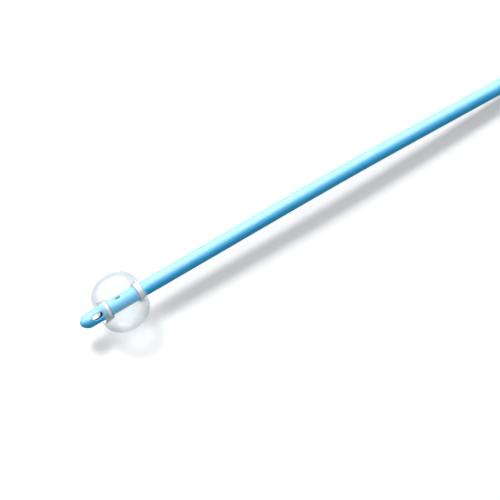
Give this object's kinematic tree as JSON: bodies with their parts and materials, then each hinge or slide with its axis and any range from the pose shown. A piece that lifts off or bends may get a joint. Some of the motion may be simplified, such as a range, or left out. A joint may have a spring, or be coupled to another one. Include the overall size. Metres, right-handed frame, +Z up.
{
  "type": "foley urinary catheter",
  "caption": "Two-way urinary catheter: a long flexible tube with a rounded, eyed tip and an inflated clear balloon, and a yoke with a drainage funnel and a sprung inflation valve.",
  "frame": {"origin": "centre of the footprint, on the surface that the catheter lies on", "axes": "+X along the catheter from its tip to its drainage funnel, +Z up, the inflation arm on the +Y side"},
  "size_m": [0.41, 0.0398, 0.024],
  "materials": {
    "blue_silicone": "glossy translucent",
    "clear_silicone": "clear, glossy",
    "yoke_silicone": "satin translucent",
    "plug_silicone": "satin",
    "red_plastic": "moulded, semi gloss",
    "white_plastic": "moulded",
    "grey_rubber": "matte",
    "spring_steel": "drawn wire"
  },
  "bodies": {
    "catheter_body": {"tip": "blue_silicone", "shaft": "blue_silicone", "inflation_lumen_plug": "plug_silicone", "balloon": "clear_silicone", "y_funnel": "yoke_silicone", "valve_housing": "red_plastic", "valve_spring": "spring_steel", "valve_retainer": "white_plastic"},
    "plunger_body": {"valve_plunger": "white_plastic", "valve_seal": "grey_rubber"}
  },
  "joints": [
    {"name": "plunger_press", "type": "slide", "parent": "catheter_body", "child": "plunger_body", "axis": [-0.9063, -0.416, 0.0746], "range_m": [0, 0.0016], "stiffness_N_per_m": 400, "springref_m": -0.002, "deforming": ["valve_spring"]}
  ]
}
